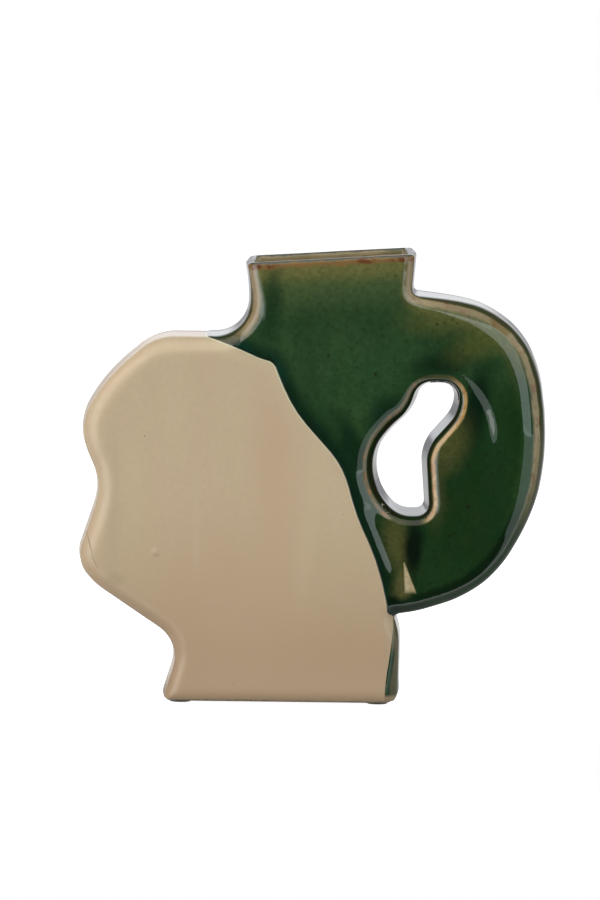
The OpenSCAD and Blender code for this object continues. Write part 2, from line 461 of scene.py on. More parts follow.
def casting(name, outside, inside, drop, voxel):
    """The hollow vase between two depths under the mould's surface, as even quads."""
    outline = placed(OUTLINE)
    hole = placed(HOLE)
    body = slab(name, outline, outside, HALF_D - outside)
    cut(body, block("trim", FOOT_Z, drop), "INTERSECT")
    cut(body, slab("hole", hole, outside, 2 * HALF_D), "DIFFERENCE")
    cavity = slab("cavity", outline, inside, HALF_D - inside)
    cut(cavity, block("trim", FLOOR_Z, -OVERRUN / 2), "INTERSECT")
    cut(cavity, slab("tube", hole, inside, 2 * HALF_D), "DIFFERENCE")
    cut(body, cavity, "DIFFERENCE")
    grid = body.modifiers.new("grid", "REMESH")
    grid.mode = "VOXEL"
    grid.voxel_size = voxel
    grid.adaptivity = 0
    finished(body)
    relax(body, 4)
    settle(body, outside, inside, drop)
    relax(body, 2)
    settle(body, outside, inside, drop)
    return body


# The photograph's view

PHOTO_W = 600
PHOTO_H = 900
PHOTO_MM_PER_PX = 250 / 467.6
ELEVATION = math.radians(5.2)
ROLL = 0.0125
CAMERA_GAP = 5.0
AIM = Vector((-6.6 * MM, 0, 134.25 * MM))


def on_face(px, py):
    """Where a point of the photograph lies on the front face: X and Z in metres."""
    size = PHOTO_MM_PER_PX * MM * (CAMERA_GAP - HALF_D) / CAMERA_GAP
    u = (px - PHOTO_W / 2) * size
    v = (PHOTO_H / 2 - py) * size
    right = u * math.cos(ROLL) - v * math.sin(ROLL)
    up = u * math.sin(ROLL) + v * math.cos(ROLL)
    return AIM.x + right, AIM.z + (up + HALF_D * math.sin(ELEVATION)) / math.cos(ELEVATION)


# Glaze line and regions

LINE_WALL = MouldWall(soft_loop(placed(CREAM_SIDE), 1.0 * MM, 3), True)
COAT_T = 0.6 * MM
LIP_LINE = GLAZE_DEPTH + 2.9 * MM
NOTCH = (0.176 * BODY_W, 0.219 * BODY_H)


def split_patch(body, keep_inner):
    """The inner or outer skin of the casting, an open sheet that ends below the lip and above the foot."""
    bm = bmesh.new()
    bm.from_mesh(body.data)
    lip_normal = (-math.sin(RIM_SLOPE), 0, math.cos(RIM_SLOPE))
    lip_spot = (NECK_RIGHT_X, 0, RIM_Z - LIP_LINE)
    for spot, normal in ((lip_spot, lip_normal), ((0, 0, BARE_Z), (0, 0, 1))):
        bmesh.ops.bisect_plane(
            bm, geom=bm.verts[:] + bm.edges[:] + bm.faces[:], dist=1e-6,
            plane_co=spot, plane_no=normal)
    centres = np.array([f.calc_center_median()[:] for f in bm.faces])
    depth, _ = surface(centres)
    high, _ = rim_gap(centres)
    inner = (depth < -3 * MM) & (high < -LIP_LINE)
    bare = ~inner & (centres[:, 2] < BARE_Z)
    drop = ~inner if keep_inner else inner | bare
    bmesh.ops.delete(bm, geom=[f for f, out in zip(bm.faces[:], drop) if out], context="FACES")
    return bm


def refine(bm, near, rounds):
    """Splits the faces in half where near() says so."""
    for k in range(rounds):
        close = near(np.array([v.co[:] for v in bm.verts]), k)
        bm.verts.index_update()
        edges = [e for e in bm.edges if close[e.verts[0].index] and close[e.verts[1].index]]
        bmesh.ops.subdivide_edges(bm, edges=edges, cuts=1, use_grid_fill=True)


def thickened(obj, thickness):
    """Gives an open sheet its thickness on the side away from its faces."""
    wall = obj.modifiers.new("thickness", "SOLIDIFY")
    wall.thickness = thickness
    wall.offset = -1
    wall.use_even_offset = False
    return finished(obj)


def near_details(co, k):
    """Where the sheet needs small faces: along the glaze line and round the lip."""
    line, _ = LINE_WALL.look(co)
    high, _ = rim_gap(co)
    close = np.abs(line) < (3.5 - 1.5 * k) * MM
    if k == 0:
        close |= high > -7 * MM
    return close


# Height of the glaze above the even skin, in millimetres: the bead along the line
BEAD_W = 0.9
BEAD_RISE = 0.14
BEAD_CREST = 0.22
BEAD_FADE = 2.5

# The roll along the loop's lower edge and the groove beside it: height, place and half width
LOWER_ROLL = (0.32, 4.6, 2.2)
LOWER_GROOVE = (-0.42, 9.0, 1.1)
LOWER_ROLL_X = (38 * MM, 46 * MM)
LOWER_ROLL_FOOT_Z = (44 * MM, 50 * MM)
LOWER_ROLL_TOP_Z = (78 * MM, 108 * MM)

# The drop at the notch, and the waves all over: how many a metre, and how high
DROP_RISE = 0.6
DROP_HALF = (3.2 * MM, 2.6 * MM)
SLOW_WAVES = (55, 0.10)
QUICK_WAVES = (140, 0.028)
WAVE_DIP = 0.10

# No glaze stands above the mould's own surface, which lies 0.35 mm over the even skin
MOST_RISE = 0.32


def hump(values, height, middle, half):
    """A soft hump or groove across the values."""
    return height * np.exp(-((values - middle) / half) ** 2)


def rise(co):
    """How far the glaze stands above the even skin."""
    into, _ = LINE_WALL.look(co)
    to_outline, _ = OUTLINE_WALL.look(co)
    green = -into / MM
    bead = np.sqrt(np.clip(1 - (1 - np.clip(green / BEAD_W, 0, 1)) ** 2, 0, 1))
    bead *= BEAD_RISE + BEAD_CREST * np.exp(-np.maximum(green - BEAD_W, 0) / BEAD_FADE)
    # The glaze that ran down the loop hangs as a roll along its lower edge
    edge = to_outline / MM
    lower = blend_up(co[:, 0], *LOWER_ROLL_X) * (1 - blend_up(co[:, 2], *LOWER_ROLL_TOP_Z))
    lower *= blend_up(co[:, 2], *LOWER_ROLL_FOOT_Z)
    roll = hump(edge, *LOWER_ROLL) + hump(edge, *LOWER_GROOVE)
    # and ends in a drop at the notch
    drop = hump(co[:, 0], DROP_RISE, NOTCH[0], DROP_HALF[0]) * hump(co[:, 2], 1, NOTCH[1], DROP_HALF[1])
    drop *= blend_up(green, 0, 1.2)
    waves = np.array([
        sum(high * noise.noise(Vector(p) * often) for often, high in (SLOW_WAVES, QUICK_WAVES))
        for p in co.tolist()])
    high = bead + roll * lower + drop + waves - WAVE_DIP
    return np.minimum(high, MOST_RISE) * MM


def flowed(obj):
    """Moves the glaze's skin to the height it ran to."""
    mesh = obj.data
    co = coords(mesh)
    up = np.empty(len(co) * 3)
    mesh.vertices.foreach_get("normal", up)
    co += up.reshape(-1, 3) * rise(co)[:, None]
    mesh.vertices.foreach_set("co", co.ravel())
    mesh.update()


def measured(obj):
    """Stores, in millimetres, how far each vertex is from the edges, the glaze line and the rim."""
    co = coords(obj.data)
    to_outline, _ = OUTLINE_WALL.look(co)
    to_hole, _ = HOLE_WALL.look(co)
    drop = HALF_D - np.abs(co[:, 1]) - hollows(co, to_hole)
    to_outline -= WALL_LEAN * np.abs(co[:, 1]) / HALF_D
    to_hole -= HOLE_LEAN * np.abs(co[:, 1]) / HALF_D
    line, _ = LINE_WALL.look(co)
    high, _ = rim_gap(co)
    depth, _ = surface(co)
    facts = {
        "outline_fold": (to_outline - drop) / MM,
        "hole_fold": (to_hole - drop) / MM,
        "past_line": -line / MM,
        "below_rim": -high / MM,
        "under_skin": -depth / MM}
    for name, values in facts.items():
        layer = obj.data.attributes.new(name, "FLOAT", "POINT")
        layer.data.foreach_set("value", values.astype(np.float32))


def soft_shaded(obj, degrees=40):
    """Smooth shading that keeps the sharp edges."""
    bm = bmesh.new()
    bm.from_mesh(obj.data)
    for face in bm.faces:
        face.smooth = True
    for edge in bm.edges:
        edge.smooth = edge.calc_face_angle(0) < math.radians(degrees)
    bm.to_mesh(obj.data)
    bm.free()


def shown(obj, node, material):
    """Puts a finished piece in the place of its node."""
    obj.data.materials.clear()
    obj.data.materials.append(material)
    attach(obj, "root")
    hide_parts(node)


PAD_EDGE_R = 0.4 * MM


def foot_pad(node):
    """A self-adhesive pad: a low disc with a rounded edge, pressed flat on top."""
    low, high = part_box(node)
    radius = (high.x - low.x) / 2
    middle = (low + high) / 2
    bm = bmesh.new()
    bmesh.ops.create_circle(bm, cap_ends=True, segments=56, radius=radius)
    drawn = bmesh.ops.extrude_face_region(bm, geom=bm.faces[:], use_keep_orig=True)
    tips = [g for g in drawn["geom"] if isinstance(g, bmesh.types.BMVert)]
    bmesh.ops.translate(bm, verts=tips, vec=(0, 0, high.z - low.z))
    rims = [e for e in bm.edges if abs(e.verts[0].co.z - e.verts[1].co.z) < 1e-6]
    bmesh.ops.bevel(
        bm, geom=rims, offset=PAD_EDGE_R, offset_type="OFFSET", affect="EDGES",
        segments=5, profile=0.5, material=-1)
    bmesh.ops.translate(bm, verts=bm.verts[:], vec=(middle.x, middle.y, low.z))
    bmesh.ops.recalc_face_normals(bm, faces=bm.faces[:])
    return made(node.replace("foot_pad", "rubber_pad"), bm)


def prism(name):
    """Everything on the cream side of the line."""
    return slab(name, placed(CREAM_SIDE), 0, 3 * HALF_D)


GLAZE_GRID = 1.7 * MM
CLAY_GRID = 2.2 * MM
vase = casting("vase", GLAZE_DEPTH, LINER_DEPTH, GLAZE_DEPTH, GLAZE_GRID)
sheet = split_patch(vase, False)
refine(sheet, near_details, 2)
green = made("green_coat", sheet)
settle(green, GLAZE_DEPTH, LINER_DEPTH, GLAZE_DEPTH, 2)
flowed(green)
thickened(green, COAT_T)
cream = made("cream_coat", bmesh.new())
cream.data = green.data.copy()
cut(cream, prism("prism"), "INTERSECT")
cut(green, prism("prism"), "DIFFERENCE")

liner = made("inside_glaze", split_patch(vase, True))
thickened(liner, COAT_T)
clay = casting("clay_body", CLAY_DEPTH, CAVITY_DEPTH, CLAY_DEPTH, CLAY_GRID)
bpy.data.objects.remove(vase)
for piece in (green, cream, liner, clay):
    measured(piece)
    soft_shaded(piece)


# Finishes

class Shelf:
    """Adds nodes to one tree."""

    def __init__(self, tree):
        self.nodes = tree.nodes
        self.links = tree.links

    def feed(self, socket, value):
        if isinstance(value, bpy.types.NodeSocket):
            self.links.new(value, socket)
        else:
            socket.default_value = value

    def node(self, kind, settings=None, **inputs):
        new = self.nodes.new(kind)
        for name, value in (settings or {}).items():
            setattr(new, name, value)
        for name, value in inputs.items():
            self.feed(new.inputs[name.replace("_", " ")], value)
        return new

    def sum(self, how, a, b=0.0):
        new = self.node("ShaderNodeMath", {"operation": how})
        self.feed(new.inputs[0], a)
        self.feed(new.inputs[1], b)
        return new.outputs[0]

    def step(self, value, low, high):
        """0 at low and 1 at high, smooth between. Low may be the larger."""
        new = self.node("ShaderNodeMapRange", {"interpolation_type": "SMOOTHSTEP"})
        if isinstance(low, (int, float)) and isinstance(high, (int, float)) and low > high:
            self.feed(new.inputs[0], value)
            for socket, number in zip(new.inputs[1:5], (high, low, 1.0, 0.0)):
                socket.default_value = number
            return new.outputs[0]
        self.feed(new.inputs[0], value)
        self.feed(new.inputs[1], low)
        self.feed(new.inputs[2], high)
        return new.outputs[0]

    def band(self, value, low, high, fade):
        """1 between low and high, with soft ends."""
        return self.sum(
            "MULTIPLY", self.step(value, low - fade, low + fade),
            self.step(value, high + fade, high - fade))

    def mix(self, factor, a, b):
        new = self.node("ShaderNodeMix", {"data_type": "RGBA"})
        self.feed(new.inputs[0], factor)
        self.feed(new.inputs[6], a if isinstance(a, bpy.types.NodeSocket) else (*a, 1))
        self.feed(new.inputs[7], b if isinstance(b, bpy.types.NodeSocket) else (*b, 1))
        return new.outputs[2]

    def noise(self, where, scale, detail=3.0, rough=0.5, twist=0.0):
        new = self.node(
            "ShaderNodeTexNoise", None, Vector=where, Scale=scale, Detail=detail,
            Roughness=rough, Distortion=twist)
        return new.outputs["Fac"]

    def fact(self, name):
        return self.node("ShaderNodeAttribute", {"attribute_name": name}).outputs["Fac"]

    def place(self):
        return self.node("ShaderNodeTexCoord").outputs["Object"]

    def stretched(self, where, scale):
        new = self.node("ShaderNodeMapping", None, Vector=where)
        new.inputs["Scale"].default_value = scale
        return new.outputs[0]

    def grouped(self, group, **inputs):
        new = self.node("ShaderNodeGroup", {"node_tree": group}, **inputs)
        return new.outputs


def new_group(name, inputs, outputs):
    """An empty node group with named numbers going in and coming out."""
    tree = bpy.data.node_groups.new(name, "ShaderNodeTree")
    for label, kind in inputs.items():
        tree.interface.new_socket(label, in_out="INPUT", socket_type=kind)
    for label, kind in outputs.items():
        tree.interface.new_socket(label, in_out="OUTPUT", socket_type=kind)
    shelf = Shelf(tree)
    return tree, shelf, shelf.node("NodeGroupInput").outputs, shelf.node("NodeGroupOutput").inputs


FLOAT = "NodeSocketFloat"
VECTOR = "NodeSocketVector"


def clouds_group():
    """Slow changes of tone, drawn out downwards as the glaze ran."""
    tree, g, get, put = new_group(
        "glaze clouds", {"Where": VECTOR, "Scale": FLOAT}, {"Cloud": FLOAT, "Run": FLOAT})
    slow = g.noise(get["Where"], get["Scale"], 4.0, 0.55, 0.4)
    runs = g.noise(g.stretched(get["Where"], (1, 1, 0.22)), g.sum("MULTIPLY", get["Scale"], 1.9), 3.0, 0.5)
    g.feed(put["Cloud"], g.step(slow, 0.3, 0.7))
    g.feed(put["Run"], g.step(runs, 0.32, 0.68))
    return tree


def specks_group():
    """Small iron specks, scattered unevenly."""
    tree, g, get, put = new_group(
        "iron specks", {"Where": VECTOR, "Scale": FLOAT, "Size": FLOAT, "Scarce": FLOAT},
        {"Specks": FLOAT})
    cells = g.node("ShaderNodeTexVoronoi", None, Vector=get["Where"], Scale=get["Scale"])
    pick = g.node("ShaderNodeSeparateColor", None, Color=cells.outputs["Color"]).outputs[0]
    own = g.sum("MULTIPLY", get["Size"], g.sum("ADD", pick, 0.35))
    near = g.node("ShaderNodeMapRange", {"interpolation_type": "SMOOTHSTEP"})
    g.feed(near.inputs[0], cells.outputs["Distance"])
    near.inputs[1].default_value = 0.0
    g.feed(near.inputs[2], own)
    near.inputs[3].default_value = 1.0
    near.inputs[4].default_value = 0.0
    kept = g.step(g.sum("SUBTRACT", pick, get["Scarce"]), 0.0, 0.05)
    g.feed(put["Specks"], g.sum("MULTIPLY", near.outputs[0], kept))
    return tree


def wander_group():
    """A distance whose edge wanders, for lines that aren't drawn with a ruler."""
    tree, g, get, put = new_group(
        "wandering edge", {"Where": VECTOR, "Distance": FLOAT, "Amount": FLOAT, "Scale": FLOAT},
        {"Distance": FLOAT})
    drift = g.sum("SUBTRACT", g.noise(get["Where"], get["Scale"], 3.0, 0.6), 0.5)
    g.feed(put["Distance"], g.sum(
        "ADD", get["Distance"], g.sum("MULTIPLY", drift, g.sum("MULTIPLY", get["Amount"], 2.0))))
    return tree


def spot_group():
    """A soft oval spot on the faces, turned by an angle."""
    tree, g, get, put = new_group(
        "soft spot", {"Where": VECTOR, "X": FLOAT, "Z": FLOAT, "Half Width": FLOAT,
                      "Half Height": FLOAT, "Turn": FLOAT, "Softness": FLOAT}, {"Spot": FLOAT})
    parts = g.node("ShaderNodeSeparateXYZ", None, Vector=get["Where"]).outputs
    dx = g.sum("SUBTRACT", parts[0], get["X"])
    dz = g.sum("SUBTRACT", parts[2], get["Z"])
    cos = g.sum("COSINE", get["Turn"])
    sin = g.sum("SINE", get["Turn"])
    along = g.sum("ADD", g.sum("MULTIPLY", dx, cos), g.sum("MULTIPLY", dz, sin))
    up = g.sum("SUBTRACT", g.sum("MULTIPLY", dz, cos), g.sum("MULTIPLY", dx, sin))
    across = g.sum("DIVIDE", along, get["Half Width"])
    up = g.sum("DIVIDE", up, get["Half Height"])
    gap = g.sum("SQRT", g.sum("ADD", g.sum("MULTIPLY", across, across), g.sum("MULTIPLY", up, up)))
    near = g.node("ShaderNodeMapRange", {"interpolation_type": "SMOOTHSTEP"})
    edges = (
        gap, g.sum("SUBTRACT", 1.0, get["Softness"]), g.sum("ADD", 1.0, get["Softness"]), 1.0, 0.0)
    for socket, value in zip(near.inputs[:5], edges):
        g.feed(socket, value)
    g.feed(put["Spot"], near.outputs[0])
    return tree


def ripple_group():
    """Fine unevenness of a fired glaze, as a height."""
    tree, g, get, put = new_group("glaze skin", {"Where": VECTOR}, {"Height": FLOAT})
    wide = g.noise(get["Where"], 90.0, 2.0, 0.4)
    fine = g.noise(get["Where"], 700.0, 2.0, 0.5)
    g.feed(put["Height"], g.sum("ADD", g.sum("MULTIPLY", wide, 1.0), g.sum("MULTIPLY", fine, 0.06)))
    return tree


CLOUDS = clouds_group()
SPECKS = specks_group()
WANDER = wander_group()
SPOT = spot_group()
RIPPLE = ripple_group()


def new_material(name, roughness, ior=1.5):
    """A material with its own shader, whose even settings sit on the shader's sockets."""
    material = bpy.data.materials.new(name)
    material.use_nodes = True
    shelf = Shelf(material.node_tree)
    shader = material.node_tree.nodes["Principled BSDF"]
    shader.inputs["Roughness"].default_value = roughness
    shader.inputs["IOR"].default_value = ior
    return material, shelf, shader


# Depth of the fine unevenness of a glaze, and of the inside, the clay and the rubber
GLAZE_BUMP = 0.08 * MM
ROUGH_BUMP = 0.1 * MM


def uneven(g, shader, height, strength, depth):
    """Bends the shader's normal by a height."""
    bump = g.node("ShaderNodeBump", None, Height=height, Strength=strength, Distance=depth)
    g.feed(shader.inputs["Normal"], bump.outputs[0])


# Stains, with a few painted shades and highlights among them: place in the photograph, half
# width and half height in its pixels, turn in degrees, softness, strength and colour
GREEN_STAINS_AND_PAINTED_SHADE = (
    ("dark left of the neck", (272, 305), (9, 34), -4, 0.8, 0.75, (0.006, 0.032, 0.010)),
    ("light above the hole's left", (372, 372), (46, 30), 30, 0.9, 0.45, (0.036, 0.096, 0.034)),
    ("light under the neck", (330, 330), (50, 26), 10, 0.9, 0.35, (0.044, 0.092, 0.034)),
    ("dark above the hole", (446, 362), (34, 13), 20, 0.6, 0.75, (0.002, 0.020, 0.006)),
    ("dark right of the hole", (476, 408), (11, 38), -12, 0.7, 0.95, (0.0005, 0.013, 0.004)),
    ("dark left of the hole", (385, 412), (20, 12), 42, 0.8, 0.8, (0.002, 0.022, 0.008)),
    ("dark by the line", (352, 446), (12, 34), 26, 0.7, 0.85, (0.0015, 0.020, 0.007)),
    ("brown right of the hole", (449, 446), (15, 26), -24, 0.9, 0.75, (0.110, 0.104, 0.030)),
    ("brown by the hole's foot", (436, 492), (8, 30), 0, 0.9, 0.7, (0.070, 0.070, 0.024)),
    ("brown under the hole", (397, 545), (12, 26), 12, 0.7, 0.85, (0.100, 0.098, 0.028)),
    ("dark run", (413, 549), (9, 27), -4, 0.6, 0.97, (0.0004, 0.005, 0.002)),
    ("olive on the loop", (486, 338), (34, 15), 28, 0.8, 0.75, (0.105, 0.122, 0.028)),
    ("olive by the neck", (436, 320), (30, 14), 2, 0.8, 0.6, (0.115, 0.128, 0.034)),
    ("brown at the notch", (401, 590), (9, 14), 0, 0.7, 0.8, (0.060, 0.066, 0.018)),
    # Painted shade: the hollow fold at the notch darkened to black green
    ("painted shade in the fold at the notch", (396, 604), (9, 5), -18, 0.6, 1.0, (0.0008, 0.008, 0.002)),
    ("tan by the drop", (402, 586), (5.5, 14), 8, 0.6, 0.6, (0.14, 0.12, 0.045)),
    ("green below the drop", (412, 604), (14, 6), 10, 0.5, 1.0, (0.004, 0.020, 0.006)))

# The bare drop: its point and its foot in the photograph, and half its width at the foot
DROP_TIP = (404, 562)
DROP_FOOT = (410.5, 592)
DROP_HALF_W = 5.2

# The middle of the hole, and where the tan round it fades: place in the photograph, half sizes
HOLE_MIDDLE = (415, 450)
BARE_HOLE_FOOT = (407, 524)
BARE_HOLE_FOOT_HALF = (11 * MM, 6 * MM)
BARE_HOLE_TOP = (432, 374)
BARE_HOLE_TOP_HALF = (12 * MM, 8 * MM)

CREAM_STAINS_AND_PAINTED_LIGHT = (
    ("pink middle", (274, 470), (22, 70), 4, 0.8, 0.5, (0.600, 0.414, 0.270)),
    ("pink low", (250, 590), (60, 60), 0, 0.9, 0.35, (0.582, 0.408, 0.270)),
    ("yellow streak", (312, 505), (9, 70), -6, 0.9, 0.5, (0.654, 0.510, 0.330)),
    ("yellow streak left", (196, 515), (3.5, 46), 0, 0.95, 0.4, (0.640, 0.505, 0.340)),
    ("grey streak", (113, 505), (6, 60), 0, 0.95, 0.35, (0.500, 0.385, 0.260)),
    ("grey smudge", (114, 580), (9, 6), 0, 0.7, 0.4, (0.432, 0.324, 0.204)),
    ("pinhole", (144.5, 436), (0.7, 0.7), 0, 0.6, 0.8, (0.144, 0.096, 0.060)),
    # A soft bump's painted highlight and painted shade, with no bump in the mesh
    ("soft bump's painted highlight", (153.5, 550), (2.6, 2.2), 0, 0.9, 0.6, (0.74, 0.58, 0.41)),
    ("soft bump's shade", (156, 555), (2.6, 1.8), 0, 0.9, 0.6, (0.42, 0.31, 0.20)),
    ("second pinhole", (343, 515), (0.6, 0.6), 0, 0.6, 0.5, (0.240, 0.156, 0.096)),
    # A thin dark line down the cream's left edge, and its fainter tail
    ("thin dark line", (89.5, 546), (0.5, 11), 14, 0.6, 0.6, (0.120, 0.090, 0.060)),
    ("thin dark line's tail", (94.5, 562), (0.6, 8), 30, 0.6, 0.45, (0.192, 0.144, 0.096)))


def stained_and_shaded(g, where, body, stains, wobble):
    """Lays soft stains, painted shades and painted highlights over a colour, with edges that wander a
    little.
    """
    drift = g.node("ShaderNodeTexNoise", None, Vector=where, Scale=95.0, Detail=3.0)
    shift = g.node("ShaderNodeVectorMath", {"operation": "SUBTRACT"})
    g.feed(shift.inputs[0], drift.outputs["Color"])
    shift.inputs[1].default_value = (0.5, 0.5, 0.5)
    sized = g.node("ShaderNodeVectorMath", {"operation": "SCALE"})
    g.feed(sized.inputs[0], shift.outputs[0])
    sized.inputs["Scale"].default_value = wobble
    moved = g.node("ShaderNodeVectorMath", {"operation": "ADD"})
    g.feed(moved.inputs[0], where)
    g.feed(moved.inputs[1], sized.outputs[0])
    for name, spot, size, turn, softness, strength, colour in stains:
        x, z = on_face(*spot)
        mask = g.grouped(
            SPOT, Where=moved.outputs[0], X=x, Z=z, Half_Width=size[0] * PHOTO_MM_PER_PX * MM,
            Half_Height=size[1] * PHOTO_MM_PER_PX * MM, Turn=math.radians(turn), Softness=softness)[0]
        body = g.mix(g.sum("MULTIPLY", mask, strength), body, colour)
    return body


# Colours of the green glaze. Two in one name are the ends that its clouds or specks of rust
# move between
UPPER_GREENS = ((0.024, 0.068, 0.019), (0.043, 0.096, 0.032))
LOWER_GREENS = ((0.0055, 0.034, 0.0045), (0.015, 0.046, 0.009))
STREAK_GREEN = (0.006, 0.036, 0.008)
RUN_GREEN = (0.009, 0.042, 0.020)
LOW_OLIVE = (0.024, 0.040, 0.010)
NECK_GREEN = (0.012, 0.040, 0.012)
UNDER_RIM_GREEN = (0.072, 0.112, 0.038)
UNDER_RIM_OLIVE = (0.185, 0.175, 0.055)
THIN_BROWN = (0.150, 0.138, 0.042)
LOOP_SIDE_GREEN = (0.022, 0.062, 0.016)
# Black green for the roll along the lower edges: pooled glaze with painted shade in the crease
POOLED_AND_SHADED_CREASE_GREEN = (0.0006, 0.010, 0.002)
POOL_GREEN = (0.0015, 0.018, 0.007)
POOL_TEAL = (0.002, 0.060, 0.042)
LINE_GREEN = (0.001, 0.010, 0.004)
BARE_TANS = ((0.62, 0.50, 0.30), (0.50, 0.39, 0.21))
MOTTLE_GREEN = (0.004, 0.016, 0.004)
SMALL_SPECK = (0.010, 0.010, 0.004)
LARGE_SPECK = (0.012, 0.010, 0.005)
EDGE_TANS = ((0.225, 0.168, 0.074), (0.37, 0.285, 0.140))
EDGE_RUST = (0.20, 0.100, 0.042)
NECK_EDGE_TAN = (0.33, 0.245, 0.135)
SIDE_GREENS = ((0.014, 0.042, 0.013), (0.046, 0.046, 0.018))
SIDE_STREAK = (0.024, 0.030, 0.011)
HOLE_LEFT_TAN = (0.175, 0.130, 0.062)
HOLE_RIGHT_TAN = (0.52, 0.330, 0.130)
HOLE_RUST = (0.38, 0.165, 0.052)
HOLE_SIDE_BROWNS = ((0.022, 0.020, 0.007), (0.012, 0.026, 0.009))
LIP_BROWNS = ((0.24, 0.140, 0.050), (0.15, 0.055, 0.022))
MOUTH_TANS = ((0.34, 0.26, 0.14), (0.20, 0.17, 0.075))
LIP_TOP_GREY = (0.10, 0.10, 0.07)
BASE_BROWNS = ((0.060, 0.056, 0.024), (0.120, 0.098, 0.046))
BASE_STRIP_GREEN = (0.006, 0.034, 0.008)
BASE_FOOT_TAN = (0.36, 0.250, 0.150)

# Colours of the cream glaze
CREAMS = ((0.648, 0.486, 0.326), (0.654, 0.516, 0.338))
CREAM_RUN = (0.624, 0.462, 0.300)
# Painted shade: the cream darkened towards the foot, where less light falls
CREAM_PAINTED_SHADE = (0.485, 0.338, 0.212)
CREAM_GRAIN = (0.480, 0.345, 0.225)
YELLOW_CREAM = (0.696, 0.552, 0.360)
PALE_CREAM = (0.600, 0.516, 0.336)
# Pale halo on the cream along the line, with a painted highlight at the foot of the green's bead
HALO_AND_HIGHLIGHT_CREAM = (0.720, 0.660, 0.456)
PINHOLE_BROWN = (0.192, 0.120, 0.072)

# Colours of the inside glaze, the clay and the pads
INSIDE_TANS = ((0.42, 0.31, 0.20), (0.34, 0.25, 0.145))
INSIDE_GREEN = (0.16, 0.17, 0.07)
INSIDE_FLECK = (0.15, 0.07, 0.035)
CLAY_BROWNS = ((0.50, 0.38, 0.26), (0.42, 0.31, 0.21))
CLAY_SPECK = (0.18, 0.11, 0.07)
RUBBER_GREYS = ((0.23, 0.23, 0.24), (0.42, 0.41, 0.39))

# Where the finishes change, in millimetres, each as the start of a fade and its end: heights
# above the table and places across
LOW_HEIGHT = (150.0, 105.0)
LOOP_ACROSS = (40.0, 70.0)
LOOP_LOW_HEIGHT = (192.0, 150.0)
NECK_HEIGHT = (184.0, 206.0)
THIN_HEIGHT = (150.0, 200.0)
CREASE_SHADE_HEIGHT = (118.0, 92.0)
TEAL_HEIGHT = (165.0, 190.0)
EDGE_TAN_HEIGHT = (88.0, 135.0)
NECK_ACROSS = (64.0, 50.0)
BASE_HEIGHT = (50.0, 44.0)
BASE_ACROSS = (36.0, 38.0)
STRIP_HEIGHT = (34.0, 26.0)
BASE_FOOT_HEIGHT = (7.0, 4.5)
# Painted shade on the cream, fading in from 130 mm down to the foot
CREAM_PAINTED_SHADE_HEIGHT = (130.0, 5.0)
YELLOW_HEIGHT = (120.0, 190.0)
PALE_HEIGHT = (95.0, 170.0)

# The same for distances: below the rim, past the glaze line (under 0 on the cream), in from
# the folds of the edges (under 0 on the walls) and under the skin
UNDER_RIM = (34.0, 14.0)
CLOSE_UNDER_RIM = (16.0, 5.0)
LIP_UNDER_RIM = (4.6, 3.3)
LIP_TOP_UNDER_RIM = (1.6, 0.9)
POOL_PAST = (11.0, 2.0)
TEAL_PAST = (7.0, 1.0)
LINE_PAST = (1.6, 0.4)
NEAR_LINE_PAST = (14.0, 4.0)
STRIP_PAST = (3.0, 2.2)
YELLOW_PAST = (-9.0, -1.0)
PALE_PAST = (-3.0, -0.6)
FRINGE_PAST = (-0.9, -0.3)
LOOP_SIDE_FOLD = (14.0, 10.0)
SIDE_FOLD = (-2.5, -5.0)
HOLE_SIDE_FOLD = (-0.9, -2.6)
MOUTH_UNDER_SKIN = (1.2, 2.6)


